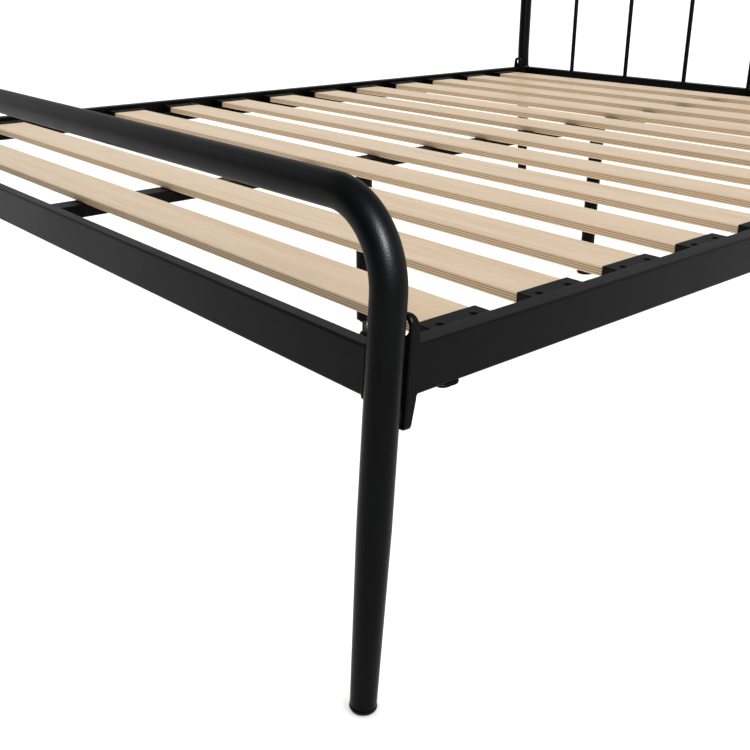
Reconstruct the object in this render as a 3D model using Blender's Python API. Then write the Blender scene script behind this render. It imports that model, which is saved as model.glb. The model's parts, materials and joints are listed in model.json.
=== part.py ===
"""Double bed frame in black tube steel, with a hoop footboard, a barred headboard and slats.

Metres, +Z up. X runs across the bed and Y along it, with the foot end at -Y.
The origin is on the floor at the middle of the frame.
"""
import math

import bmesh
import bpy
from mathutils import Matrix, Vector

# Clearance between pieces that touch
GAP = 0.0003

# The mattress that the frame is made for
MATTRESS_WIDTH = 1.600
MATTRESS_LENGTH = 2.000
MATTRESS_SIDE_PLAY = 0.003
MATTRESS_END_PLAY = 0.010

# Bent tube of the two hoops, and its tapered legs
TUBE_RADIUS = 0.0175
TUBE_WALL = 0.0015
TUBE_SIDES = 20
BEND_RADIUS = 0.082
BEND_STEP = math.radians(11.25)
LEG_LEAN = math.radians(4.14)
LEG_TAPER_HEIGHT = 0.210
LEG_TIP_RADIUS = 0.0141
FOOT_HOOP_HEIGHT = 0.5235
HEAD_HOOP_HEIGHT = 0.980
HEAD_KINK_HEIGHT = 0.443
HEAD_KINK_RADIUS = 0.250

# Rectangular rails
RAIL_HEIGHT = 0.050
RAIL_UNDERSIDE = 0.344
RAIL_WALL = 0.0015
RAIL_CORNER = 0.003
SIDE_RAIL_WIDTH = 0.025
END_RAIL_WIDTH = 0.020

# Headboard bars
HEAD_BAR_COUNT = 7
HEAD_BAR_RADIUS = 0.006

# Pressed bracket that ends each side rail, and the pieces that join it to the leg.
# Its places are measured in the leg's own frame: Y from the leg's axis, Z from mid-rail.
BRACKET_FRONT = 0.0192
BRACKET_SHEET = 0.0022
BRACKET_DEPTH = 0.0128
BRACKET_END_DEPTH = 0.0085
BRACKET_INNER_DEPTH = 0.0050
BRACKET_HALF_HEIGHT = 0.0570
BRACKET_DROP = 0.0010
BRACKET_TOP_CORNER = 0.0095
BRACKET_FOOT_CORNER = 0.0060
BRACKET_EDGE = 0.0018
BRACKET_BACK = BRACKET_FRONT + BRACKET_SHEET
FLANGE_SHOULDER = RAIL_HEIGHT / 2 + 0.002
FLANGE_STEP = 0.004
STUD_HEIGHT = 0.0145
STUD_RADIUS = 0.0035
STUD_COLLAR_RADIUS = 0.0055
STUD_HEAD_RADIUS = 0.0053
STUD_HEAD_HEIGHT = 0.0037
KEYHOLE_RADIUS = 0.0070
KEYHOLE_HEIGHT = 0.0
WINDOW_RADIUS = 0.0088
WINDOW_HEIGHT = 0.0430
BOLT_HEIGHT = -0.0420
BOLT_RADIUS = 0.0040
BOLT_CLEARANCE = 0.0005
BOLT_TIP = 0.0080
BOLT_HEAD_RADIUS = 0.0065
BOLT_HEAD_HEIGHT = 0.0050
SOCKET_WIDTH = 0.0060
SOCKET_DEPTH = 0.0030
LUG_HALF_WIDTH = 0.0090
LUG_HALF_HEIGHT = 0.0068

# Plastic cap on each leg, measured up the leg from the floor
CAP_RADIUS = 0.0148
CAP_HEIGHT = 0.0045
CAP_STEM_TOP = 0.028

# Cross bars: round tube with flattened ends under the side rails
CROSS_RADIUS = 0.0095
CROSS_SIDES = 12
CROSS_WALL = 0.0012
CROSS_FLAT = 0.0034
CROSS_INSET = 0.076
CROSS_FLAT_LENGTH = 0.034
CROSS_NECK_LENGTH = 0.030
CROSS_END_CORNER = 0.007
CROSS_END_MARGIN = 0.0002
CROSS_BOLT_RADIUS = 0.0030
CROSS_BOLT_LENGTH = 0.0170
CROSS_HEAD_RADIUS = 0.0052
CROSS_HEAD_HEIGHT = 0.0030
CROSS_SOCKET_WIDTH = 0.0030
CROSS_SOCKET_DEPTH = 0.0014

# Centre beam and its legs
BEAM_WIDTH = 0.040
BEAM_HEIGHT = 0.020
BEAM_HALF_LENGTH = 0.997
CENTRE_LEG_Y = 0.360
CENTRE_LEG_RADIUS = 0.016
CENTRE_LEG_BOTTOM = 0.045
CENTRE_LEG_PLATE = 0.006
STEM_RADIUS = 0.005
PAD_RADIUS = 0.020

# Slats and the ledges that carry them
LEDGE_WIDTH = 0.024
LEDGE_SHEET = 0.003
LEDGE_DROP = 0.014
LEDGE_HALF_LENGTH = 0.965
SLAT_COUNT = 13
SLAT_WIDTH = 0.080
SLAT_THICKNESS = 0.012
SLAT_END_Y = 0.895
SLAT_END_GAP = 0.005

# Places that follow from the sizes above
RAIL_MIDDLE = RAIL_UNDERSIDE + RAIL_HEIGHT / 2
LEG_X = MATTRESS_WIDTH / 2 + MATTRESS_SIDE_PLAY + SIDE_RAIL_WIDTH / 2
LEG_Y = MATTRESS_LENGTH / 2 + MATTRESS_END_PLAY + END_RAIL_WIDTH / 2
FLOOR_ALONG_LEG = -RAIL_MIDDLE / math.cos(LEG_LEAN)
CROSS_HEIGHT = RAIL_UNDERSIDE - GAP - CROSS_FLAT / 2
CROSS_PLACES = (-LEG_Y + CROSS_INSET, 0.0, LEG_Y - CROSS_INSET)
BEAM_UNDERSIDE = CROSS_HEIGHT + CROSS_RADIUS + GAP
SLAT_REST = BEAM_UNDERSIDE + BEAM_HEIGHT

FOOT = -1
HEAD = 1
SIDES = (("left", -1), ("right", 1))
ENDS = (("foot", FOOT), ("head", HEAD))


def make_material(name, colour, roughness, metallic):
    material = bpy.data.materials.new(name)
    material.use_nodes = True
    shader = material.node_tree.nodes["Principled BSDF"]
    shader.inputs["Base Color"].default_value = (*colour, 1.0)
    shader.inputs["Roughness"].default_value = roughness
    shader.inputs["Metallic"].default_value = metallic
    return material


def finish_mesh(bm, name, smooth=True):
    """Turn a bmesh into a mesh whose faces point out, smooth except at its sharp edges."""
    bmesh.ops.recalc_face_normals(bm, faces=bm.faces)
    mesh = bpy.data.meshes.new(name)
    bm.to_mesh(mesh)
    bm.free()
    if smooth:
        mesh.shade_smooth()
        mesh.set_sharp_from_angle(angle=math.radians(35))
    return mesh


def add_piece(name, mesh, material, matrix=None):
    if not mesh.materials:
        mesh.materials.append(material)
    piece = bpy.data.objects.new(name, mesh)
    bpy.context.scene.collection.objects.link(piece)
    if matrix is not None:
        piece.matrix_world = matrix
    return piece


def add_cutter(name, mesh):
    cutter = bpy.data.objects.new(name, mesh)
    bpy.context.scene.collection.objects.link(cutter)
    cutter.hide_render = True
    cutter.display_type = 'WIRE'
    return cutter


def add_boolean(piece, other, operation):
    modifier = piece.modifiers.new(f"{operation.lower()}_{other.name}", 'BOOLEAN')
    modifier.operation = operation
    modifier.object = other


def leg_frame(side, end):
    """The frame of one leg: X across the bed, Y to its middle, Z up the leg, from mid-rail."""
    turn = Matrix.Rotation(math.pi if end == HEAD else 0.0, 4, 'Z')
    lean = Matrix.Rotation(-LEG_LEAN, 4, 'X')
    return Matrix.Translation((side * LEG_X, end * LEG_Y, RAIL_MIDDLE)) @ turn @ lean


def loft(bm, rings, closed=False):
    """Join equal rings of points in order, into a loop of rings or a solid with two flat ends."""
    loops = [[bm.verts.new(point) for point in ring] for ring in rings]
    following = loops[1:] + loops[:1] if closed else loops[1:]
    for first, second in zip(loops, following):
        for i in range(len(first)):
            j = (i + 1) % len(first)
            bm.faces.new((first[i], first[j], second[j], second[i]))
    if not closed:
        bm.faces.new(loops[0])
        bm.faces.new(loops[-1])
    return loops


def circle(radius, sides, height=0.0, start=0.0):
    turn = 2 * math.pi / sides
    return [Vector((radius * math.cos(start + i * turn), radius * math.sin(start + i * turn), height))
            for i in range(sides)]


def hexagon(across_flats, height):
    """A hexagon with a point at each corner and at each side's middle, to match a ring of 12."""
    corners = circle(across_flats / 2 / math.cos(math.pi / 6), 12, height)
    middles = circle(across_flats / 2, 12, height)
    return [middles[i] if i % 2 else corners[i] for i in range(12)]


def turned(profile, sides):
    """Solid of revolution about Z, from (radius, height) pairs; both ends are flat discs."""
    return [circle(radius, sides, height) for radius, height in profile]


def rounded_rectangle(width, height, corner, steps=3):
    """Outline centred on the origin, as (across, up) pairs."""
    points = []
    for quarter, (sx, sy) in enumerate(((1, 1), (-1, 1), (-1, -1), (1, -1))):
        for i in range(steps + 1):
            angle = (quarter + i / steps) * math.pi / 2
            points.append((sx * (width / 2 - corner) + corner * math.cos(angle),
                           sy * (height / 2 - corner) + corner * math.sin(angle)))
    return points


def split_across(outline, longest):
    """The same outline with points added where it runs further across than that, to follow a curve."""
    points = []
    for (x, y), (next_x, next_y) in zip(outline, outline[1:] + outline[:1]):
        parts = max(1, math.ceil(abs(next_x - x) / longest))
        points += [(x + (next_x - x) * i / parts, y + (next_y - y) * i / parts) for i in range(parts)]
    return points


def bent_path(corners):
    """Points along straight runs joined by round bends; each corner is (point, bend radius)."""
    points = [corners[0][0]]
    for (before, _), (corner, radius), (after, _) in zip(corners, corners[1:], corners[2:]):
        if not radius:
            points.append(corner)
            continue
        back = (before - corner).normalized()
        ahead = (after - corner).normalized()
        turn = math.pi - back.angle(ahead)
        reach = radius * math.tan(turn / 2)
        centre = corner + (back + ahead).normalized() * radius / math.cos(turn / 2)
        arm = corner + back * reach - centre
        axis = arm.cross(corner + ahead * reach - centre)
        steps = max(2, round(turn / BEND_STEP))
        points += [centre + Matrix.Rotation(turn * i / steps, 3, axis) @ arm for i in range(steps + 1)]
    points.append(corners[-1][0])
    return points


def tube_rings(points, radius_at, sides):
    """One ring across the path at each point, turned as little as possible from one to the next."""
    rings = []
    across = Vector((0, 1, 0))
    for i, point in enumerate(points):
        along = Vector()
        if i > 0:
            along += (point - points[i - 1]).normalized()
        if i < len(points) - 1:
            along += (points[i + 1] - point).normalized()
        along.normalize()
        across = (across - along * across.dot(along)).normalized()
        other = along.cross(across)
        rings.append([point + across * spot.x + other * spot.y for spot in circle(radius_at(point), sides)])
    return rings


def leg_radius(point):
    """The leg's outside radius, which narrows towards the floor."""
    share = min(1.0, point.z / LEG_TAPER_HEIGHT)
    return LEG_TIP_RADIUS + (TUBE_RADIUS - LEG_TIP_RADIUS) * share


def leg_point(side, end, height):
    """The point of a leg's axis at a height above the floor."""
    return leg_frame(side, end) @ Vector((0, 0, (height - RAIL_MIDDLE) / math.cos(LEG_LEAN)))


def hoop_corners(end):
    """The corners of a hoop's tube, from the right leg's tip over the top to the left one's."""
    tip_height = (CAP_HEIGHT + GAP) * math.cos(LEG_LEAN)
    half = [(leg_point(1, end, tip_height), 0), (leg_point(1, end, LEG_TAPER_HEIGHT), 0)]
    if end == HEAD:
        kink = leg_point(1, end, HEAD_KINK_HEIGHT)
        half.append((kink, HEAD_KINK_RADIUS))
        half.append((Vector((kink.x, kink.y, HEAD_HOOP_HEIGHT)), BEND_RADIUS))
    else:
        half.append((leg_point(1, end, FOOT_HOOP_HEIGHT), BEND_RADIUS))
    mirrored = [(Vector((-point.x, point.y, point.z)), radius) for point, radius in reversed(half)]
    return half + mirrored


def make_hoop(name, end, steel):
    path = bent_path(hoop_corners(end))
    outside = tube_rings(path, leg_radius, TUBE_SIDES)
    inside = tube_rings(path, lambda point: leg_radius(point) - TUBE_WALL, TUBE_SIDES)
    bm = bmesh.new()
    loft(bm, outside + inside[::-1], closed=True)
    hoop = add_piece(name, finish_mesh(bm, name), steel)

    holes = bmesh.new()
    lay = Matrix.Rotation(math.pi / 2, 4, 'X')
    for _, side in SIDES:
        place = leg_frame(side, end) @ Matrix.Translation((0, 0, BOLT_HEIGHT)) @ lay
        drill = [(BOLT_RADIUS + BOLT_CLEARANCE, -0.024), (BOLT_RADIUS + BOLT_CLEARANCE, -0.006)]
        loft(holes, [[place @ point for point in ring] for ring in turned(drill, 12)])
    add_boolean(hoop, add_cutter(f"{name}_bolt_holes", finish_mesh(holes, name)), 'DIFFERENCE')


def make_end_rail(name, end, steel):
    """Rectangular tube across one end, its ends shaped to sit against the round legs."""
    reach = TUBE_RADIUS + GAP
    rings = []
    for inset, sign in ((0, -1), (0, 1), (RAIL_WALL, 1), (RAIL_WALL, -1)):
        outline = split_across(rounded_rectangle(END_RAIL_WIDTH - 2 * inset, RAIL_HEIGHT - 2 * inset,
                                                 RAIL_CORNER - inset), 0.0036)
        rings.append([Vector((sign * (LEG_X - math.sqrt(reach ** 2 - y ** 2)), y, z)) for y, z in outline])
    bm = bmesh.new()
    loft(bm, rings, closed=True)
    add_piece(name, finish_mesh(bm, name), steel, leg_frame(0, end))


def make_headboard_bars(steel):
    """Straight bars from the head rail's top up to the hoop, spaced evenly between the legs."""
    foot_of_bar = leg_frame(0, HEAD) @ Vector((0, 0, RAIL_HEIGHT / 2 + GAP))
    hoop_y = leg_point(1, HEAD, HEAD_KINK_HEIGHT).y
    reach = TUBE_RADIUS + GAP
    spacing = 2 * LEG_X / (HEAD_BAR_COUNT + 1)
    for i in range(HEAD_BAR_COUNT):
        x = -LEG_X + spacing * (i + 1)
        bottom = []
        top = []
        for spot in circle(HEAD_BAR_RADIUS, 12):
            bottom.append(Vector((x + spot.x, foot_of_bar.y + spot.y,
                                  foot_of_bar.z + spot.y * math.tan(LEG_LEAN))))
            top.append(Vector((x + spot.x, hoop_y + spot.y,
                               HEAD_HOOP_HEIGHT - math.sqrt(reach ** 2 - spot.y ** 2))))
        bm = bmesh.new()
        loft(bm, [bottom, top])
        bm.faces.ensure_lookup_table()
        crown = bmesh.ops.poke(bm, faces=bm.faces[-1:])["verts"][0]
        crown.co.z = HEAD_HOOP_HEIGHT - reach
        name = f"headboard_bar_{i + 1}"
        add_piece(name, finish_mesh(bm, name), steel)


def arc(centre_height, radius, start, end, steps):
    """Points of an arc about a point on the bracket's middle line, as (across, up) pairs."""
    angles = [start + (end - start) * i / steps for i in range(steps + 1)]
    return [(radius * math.cos(angle), centre_height + radius * math.sin(angle)) for angle in angles]


def keyhole_outline():
    """A round hole with a narrow slot above it, in the bracket's face."""
    slot = STUD_RADIUS + GAP
    mouth = math.acos(slot / KEYHOLE_RADIUS)
    return (arc(KEYHOLE_HEIGHT, KEYHOLE_RADIUS, mouth, -math.pi - mouth, 12)
            + arc(STUD_HEIGHT, slot, math.pi, 0.0, 6))


def window_outline():
    """The round hole above the rail that light shows through."""
    return [(spot.x, WINDOW_HEIGHT + spot.y) for spot in circle(WINDOW_RADIUS, 16)]


def bolt_hole_outline():
    radius = BOLT_RADIUS + BOLT_CLEARANCE
    return [(spot.x, BOLT_HEIGHT + spot.y) for spot in circle(radius, 12)]


def bracket_outline(inset):
    """The bracket's rounded outline, with points where the flange gets shallower."""
    half_width = SIDE_RAIL_WIDTH / 2 - inset
    height = 2 * (BRACKET_HALF_HEIGHT - inset)
    top_shape = rounded_rectangle(2 * half_width, height, BRACKET_TOP_CORNER - inset, steps=4)
    foot_shape = rounded_rectangle(2 * half_width, height, BRACKET_FOOT_CORNER - inset, steps=4)
    upper = [(x, z - BRACKET_DROP) for x, z in top_shape if z > 0]
    lower = [(x, z - BRACKET_DROP) for x, z in foot_shape if z < 0]
    top_levels = [FLANGE_SHOULDER + FLANGE_STEP, FLANGE_SHOULDER]
    left = [(-half_width, level) for level in top_levels]
    left += [(-half_width, -level) for level in reversed(top_levels)]
    right = [(half_width, level) for x, level in reversed(left)]
    return upper + left + lower + right


def flange_edge(across, up, inner):
    """How far the flange reaches from the leg's axis: full at the rail, less towards the bracket's
    ends, and least on the side that faces the mattress, where the tools go in."""
    depth = BRACKET_DEPTH
    if abs(up) > FLANGE_SHOULDER:
        run = BRACKET_HALF_HEIGHT - BRACKET_DROP - FLANGE_SHOULDER
        share = min(1.0, (abs(up) - FLANGE_SHOULDER) / run)
        depth += (BRACKET_END_DEPTH - BRACKET_DEPTH) * share
        depth += (BRACKET_INNER_DEPTH - depth) * (1 + inner * across / (SIDE_RAIL_WIDTH / 2)) / 2
    return BRACKET_FRONT + depth


def bracket_mesh(inner):
    """Pressed steel pan: a face with a keyhole and two round holes, and a flange all round it."""
    bm = bmesh.new()
    rings = [
        [Vector((x, BRACKET_FRONT, z)) for x, z in bracket_outline(BRACKET_EDGE)],
        [Vector((x, BRACKET_FRONT + BRACKET_EDGE, z)) for x, z in bracket_outline(0)],
        [Vector((x, flange_edge(x, z, inner), z)) for x, z in bracket_outline(0)],
        [Vector((x, flange_edge(x, z, inner), z)) for x, z in bracket_outline(BRACKET_SHEET)],
        [Vector((x, BRACKET_BACK, z)) for x, z in bracket_outline(BRACKET_SHEET)],
    ]
    loops = loft(bm, rings)
    bmesh.ops.delete(bm, geom=[face for face in bm.faces if len(face.verts) > 4], context='FACES_ONLY')
    sheets = {BRACKET_FRONT: [loops[0]], BRACKET_BACK: [loops[-1]]}
    for outline in (keyhole_outline(), window_outline(), bolt_hole_outline()):
        front = [bm.verts.new((x, BRACKET_FRONT, z)) for x, z in outline]
        back = [bm.verts.new((x, BRACKET_BACK, z)) for x, z in outline]
        sheets[BRACKET_FRONT].append(front)
        sheets[BRACKET_BACK].append(back)
        for i in range(len(outline)):
            j = (i + 1) % len(outline)
            bm.faces.new((front[i], front[j], back[j], back[i]))
    for edge_loops in sheets.values():
        edges = set()
        for loop in edge_loops:
            for i in range(len(loop)):
                edges.add(bm.edges.get((loop[i - 1], loop[i])) or bm.edges.new((loop[i - 1], loop[i])))
        bmesh.ops.triangle_fill(bm, edges=list(edges), use_beauty=True)
    return finish_mesh(bm, "rail_bracket")


def stud_mesh():
    """Shouldered stud that the keyhole hooks over; its head is behind the bracket's face."""
    seat = BRACKET_BACK + GAP
    profile = [(STUD_COLLAR_RADIUS, TUBE_RADIUS + GAP), (STUD_COLLAR_RADIUS, BRACKET_FRONT - GAP),
               (STUD_RADIUS, BRACKET_FRONT - GAP), (STUD_RADIUS, seat), (STUD_HEAD_RADIUS, seat),
               (STUD_HEAD_RADIUS, seat + STUD_HEAD_HEIGHT * 0.6),
               (STUD_HEAD_RADIUS * 0.8, seat + STUD_HEAD_HEIGHT)]
    return lying_mesh("hook_stud", turned(profile, 12), STUD_HEIGHT)


def lock_bolt_mesh():
    """Socket-head bolt through the bracket and the lug into the leg."""
    seat = BRACKET_BACK + GAP
    top = seat + BOLT_HEAD_HEIGHT
    edge = BOLT_HEAD_HEIGHT * 0.16
    rings = turned([(BOLT_RADIUS - edge, BOLT_TIP), (BOLT_RADIUS, BOLT_TIP + edge),
                    (BOLT_RADIUS, seat), (BOLT_HEAD_RADIUS, seat),
                    (BOLT_HEAD_RADIUS, top - edge), (BOLT_HEAD_RADIUS - edge, top)], 12)
    rings.append(hexagon(SOCKET_WIDTH, top))
    rings.append(hexagon(SOCKET_WIDTH, top - SOCKET_DEPTH))
    return lying_mesh("lock_bolt", rings, BOLT_HEIGHT)


def lying_mesh(name, rings, height):
    """Lay a turned solid along the leg frame's Y axis, at a height in that frame."""
    lay = Matrix.Translation((0, 0, height)) @ Matrix.Rotation(-math.pi / 2, 4, 'X')
    bm = bmesh.new()
    loft(bm, [[lay @ point for point in ring] for ring in rings])
    return finish_mesh(bm, name)


def lug_mesh():
    """Saddle that fills the space between the round leg and the bracket's flat face."""
    reach = TUBE_RADIUS + GAP
    outline = []
    for i in range(9):
        x = LUG_HALF_WIDTH * (i / 4 - 1)
        outline.append((x, math.sqrt(reach ** 2 - x ** 2)))
    outline += [(LUG_HALF_WIDTH, BRACKET_FRONT - GAP), (-LUG_HALF_WIDTH, BRACKET_FRONT - GAP)]
    levels = (BOLT_HEIGHT - LUG_HALF_HEIGHT, BOLT_HEIGHT + LUG_HALF_HEIGHT)
    bm = bmesh.new()
    loft(bm, [[Vector((x, y, level)) for x, y in outline] for level in levels])
    return finish_mesh(bm, "leg_lug")


def make_corner_joints(steel, zinc):
    """The bracket, stud, lug and bolt that join a side rail to each leg."""
    brackets = {inner: bracket_mesh(inner) for inner in (-1, 1)}
    stud = stud_mesh()
    lug = lug_mesh()
    bolt = lock_bolt_mesh()
    drill = [(BOLT_RADIUS + BOLT_CLEARANCE, TUBE_RADIUS / 2), (BOLT_RADIUS + BOLT_CLEARANCE, BRACKET_BACK)]
    drill_mesh = lying_mesh("lug_hole", turned(drill, 12), BOLT_HEIGHT)
    for end_name, end in ENDS:
        for side_name, side in SIDES:
            place = leg_frame(side, end)
            corner = f"{end_name}_{side_name}"
            add_piece(f"rail_bracket_{corner}", brackets[side * end], steel, place)
            add_piece(f"hook_stud_{corner}", stud, zinc, place)
            add_piece(f"lock_bolt_{corner}", bolt, zinc, place)
            lug_piece = add_piece(f"leg_lug_{corner}", lug, steel, place)
            drill_piece = add_cutter(f"lug_hole_{corner}", drill_mesh)
            drill_piece.matrix_world = place
            add_boolean(lug_piece, drill_piece, 'DIFFERENCE')


def make_leg_caps(plastic):
    """Plastic cap with a stem inside the leg; its underside is level on the floor."""
    stem = LEG_TIP_RADIUS - TUBE_WALL - GAP
    profile = [(0.0125, -0.0016), (0.0143, 0.0012), (CAP_RADIUS, 0.0024), (CAP_RADIUS, CAP_HEIGHT - 0.0008),
               (CAP_RADIUS - 0.0007, CAP_HEIGHT), (stem, CAP_HEIGHT), (stem, CAP_STEM_TOP - 0.002),
               (stem - 0.002, CAP_STEM_TOP)]
    for end_name, end in ENDS:
        for side_name, side in SIDES:
            place = leg_frame(side, end) @ Matrix.Translation((0, 0, FLOOR_ALONG_LEG))
            bm = bmesh.new()
            loft(bm, [[place @ point for point in ring] for ring in turned(profile, TUBE_SIDES)])
            cut = bmesh.ops.bisect_plane(bm, geom=bm.verts[:] + bm.edges[:] + bm.faces[:], dist=1e-7,
                                         plane_co=(0, 0, 0), plane_no=(0, 0, -1), clear_outer=True)
            rim = [item for item in cut["geom_cut"] if isinstance(item, bmesh.types.BMEdge)]
            bmesh.ops.edgeloop_fill(bm, edges=rim)
            name = f"leg_cap_{end_name}_{side_name}"
            add_piece(name, finish_mesh(bm, name), plastic)


def flattened_ring(x, flatness, narrowing, wall):
    """Section of a cross bar: a circle at flatness 0 and a flat stadium of the same girth at 1."""
    height = 2 * CROSS_RADIUS * (1 - flatness) + CROSS_FLAT * flatness
    straight = math.pi * (2 * CROSS_RADIUS - height) / 2
    shift = straight / 2 - narrowing
    ring = []
    for spot in circle(height / 2 - wall, CROSS_SIDES, start=math.pi / CROSS_SIDES):
        ring.append(Vector((x, spot.x + math.copysign(shift, spot.x), spot.y)))
    return ring


def cross_bar_stations():
    """(x, flatness, narrowing) along the right half of a cross bar, from its middle to its end."""
    end = LEG_X + SIDE_RAIL_WIDTH / 2 - CROSS_END_MARGIN
    flat_start = end - CROSS_FLAT_LENGTH
    stations = [(flat_start - CROSS_NECK_LENGTH * (1 - i / 3), (1 - math.cos(math.pi * i / 3)) / 2, 0.0)
                for i in range(4)]
    for i in range(3):
        angle = math.pi / 2 * (1 - i / 2)
        stations.append((end - CROSS_END_CORNER * (1 - math.cos(angle)), 1.0,
                         CROSS_END_CORNER * (1 - math.sin(angle))))
    return stations


def make_cross_bars(steel, drill):
    half = cross_bar_stations()
    stations = [(-x, flatness, narrowing) for x, flatness, narrowing in reversed(half)] + half
    bm = bmesh.new()
    outside = [flattened_ring(*station, 0.0) for station in stations]
    inside = [flattened_ring(*station, CROSS_WALL) for station in stations]
    loft(bm, outside + inside[::-1], closed=True)
    mesh = finish_mesh(bm, "cross_bar")
    for name, y in zip(("foot", "middle", "head"), CROSS_PLACES):
        bar = add_piece(f"cross_bar_{name}", mesh, steel, Matrix.Translation((0, y, CROSS_HEIGHT)))
        add_boolean(bar, drill, 'DIFFERENCE')


def cross_bolt_places():
    """Name, x and y of each bolt that holds a cross bar under a side rail."""
    return [(f"{bar_name}_{side_name}", side * LEG_X, y)
            for bar_name, y in zip(("foot", "middle", "head"), CROSS_PLACES) for side_name, side in SIDES]


def make_cross_bolts(zinc):
    """Domed bolts from below; each goes through a flattened end into the side rail."""
    seat = CROSS_HEIGHT - CROSS_FLAT / 2 - GAP
    rings = [hexagon(CROSS_SOCKET_WIDTH, CROSS_SOCKET_DEPTH - CROSS_HEAD_HEIGHT),
             hexagon(CROSS_SOCKET_WIDTH, -CROSS_HEAD_HEIGHT)]
    rings += turned([(CROSS_HEAD_RADIUS * 0.6, -CROSS_HEAD_HEIGHT),
                     (CROSS_HEAD_RADIUS * 0.9, -CROSS_HEAD_HEIGHT * 0.7),
                     (CROSS_HEAD_RADIUS, -CROSS_HEAD_HEIGHT * 0.3), (CROSS_HEAD_RADIUS, 0.0),
                     (CROSS_BOLT_RADIUS, 0.0), (CROSS_BOLT_RADIUS, CROSS_BOLT_LENGTH)], 12)
    bm = bmesh.new()
    loft(bm, rings)
    mesh = finish_mesh(bm, "cross_bolt")
    for name, x, y in cross_bolt_places():
        add_piece(f"cross_bolt_{name}", mesh, zinc, Matrix.Translation((x, y, seat)))


def make_cross_drill():
    """Holes for those bolts, through the flattened ends and the rails' lower walls."""
    radius = CROSS_BOLT_RADIUS + GAP
    bm = bmesh.new()
    for _, x, y in cross_bolt_places():
        for_bolt = Matrix.Translation((x, y, RAIL_UNDERSIDE))
        rings = turned([(radius, -0.010), (radius, 0.006)], 12)
        loft(bm, [[for_bolt @ point for point in ring] for ring in rings])
    return add_cutter("cross_bolt_holes", finish_mesh(bm, "cross_bolt_holes"))


def make_side_rails(steel, drill):
    """Rectangular tube along each side, with a ledge for the slats welded to its inner face."""
    start = LEG_Y - (BRACKET_FRONT + BRACKET_DEPTH + GAP) / math.cos(LEG_LEAN)
    rings = []
    for inset, sign in ((0, -1), (0, 1), (RAIL_WALL, 1), (RAIL_WALL, -1)):
        outline = rounded_rectangle(SIDE_RAIL_WIDTH - 2 * inset, RAIL_HEIGHT - 2 * inset,
                                    RAIL_CORNER - inset)
        rings.append([Vector((x, sign * (start - z * math.tan(LEG_LEAN)), z)) for x, z in outline])
    bm = bmesh.new()
    loft(bm, rings, closed=True)
    mesh = finish_mesh(bm, "side_rail")

    inner_face = -SIDE_RAIL_WIDTH / 2
    bite = RAIL_WALL / 2
    top = SLAT_REST - RAIL_MIDDLE
    section = [(inner_face + bite, top), (inner_face - LEDGE_WIDTH, top),
               (inner_face - LEDGE_WIDTH, top - LEDGE_SHEET), (inner_face - LEDGE_SHEET, top - LEDGE_SHEET),
               (inner_face - LEDGE_SHEET, top - LEDGE_DROP), (inner_face + bite, top - LEDGE_DROP)]
    ledge = bmesh.new()
    loft(ledge, [[Vector((x, y, z)) for x, z in section] for y in (-LEDGE_HALF_LENGTH, LEDGE_HALF_LENGTH)])
    ledge_mesh = finish_mesh(ledge, "slat_ledge")

    for side_name, side in SIDES:
        turn = Matrix.Rotation(0.0 if side > 0 else math.pi, 4, 'Z')
        place = Matrix.Translation((side * LEG_X, 0, RAIL_MIDDLE)) @ turn
        rail = add_piece(f"side_rail_{side_name}", mesh, steel, place)
        ledge_piece = add_cutter(f"slat_ledge_{side_name}", ledge_mesh)
        ledge_piece.matrix_world = place
        add_boolean(rail, ledge_piece, 'UNION')
        add_boolean(rail, drill, 'DIFFERENCE')


def make_centre_beam(steel):
    """Rectangular tube along the middle, on the cross bars and under the slats."""
    middle = BEAM_UNDERSIDE + BEAM_HEIGHT / 2
    rings = []
    for inset, sign in ((0, -1), (0, 1), (RAIL_WALL, 1), (RAIL_WALL, -1)):
        outline = rounded_rectangle(BEAM_WIDTH - 2 * inset, BEAM_HEIGHT - 2 * inset, RAIL_CORNER - inset)
        rings.append([Vector((x, sign * BEAM_HALF_LENGTH, z)) for x, z in outline])
    bm = bmesh.new()
    loft(bm, rings, closed=True)
    add_piece("centre_beam", finish_mesh(bm, "centre_beam"), steel, Matrix.Translation((0, 0, middle)))


def make_centre_legs(steel, plastic):
    """Hollow legs under the beam, each with a screwed foot that slides in its end plate."""
    top = BEAM_UNDERSIDE - GAP - CENTRE_LEG_BOTTOM
    hole = STEM_RADIUS + GAP
    bore = CENTRE_LEG_RADIUS - TUBE_WALL
    leg_rings = turned([(CENTRE_LEG_RADIUS, top), (CENTRE_LEG_RADIUS, 0.0), (hole, 0.0),
                        (hole, CENTRE_LEG_PLATE), (bore, CENTRE_LEG_PLATE), (bore, top - 0.003)], TUBE_SIDES)
    foot_rings = turned([(PAD_RADIUS - 0.002, 0.0), (PAD_RADIUS, 0.002), (PAD_RADIUS, 0.006), (0.0145, 0.010),
                         (0.0085, 0.012), (0.0085, 0.018), (STEM_RADIUS, 0.018), (STEM_RADIUS, 0.073),
                         (STEM_RADIUS - 0.001, 0.074)], TUBE_SIDES)
    for name, y in (("foot_end", -CENTRE_LEG_Y), ("head_end", CENTRE_LEG_Y)):
        leg = bmesh.new()
        loft(leg, leg_rings)
        add_piece(f"centre_leg_{name}", finish_mesh(leg, "centre_leg"), steel,
                  Matrix.Translation((0, y, CENTRE_LEG_BOTTOM)))
        foot = bmesh.new()
        loft(foot, foot_rings)
        add_piece(f"adjuster_{name}", finish_mesh(foot, "adjuster"), plastic,
                  Matrix.Translation((0, y, 0)))


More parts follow.
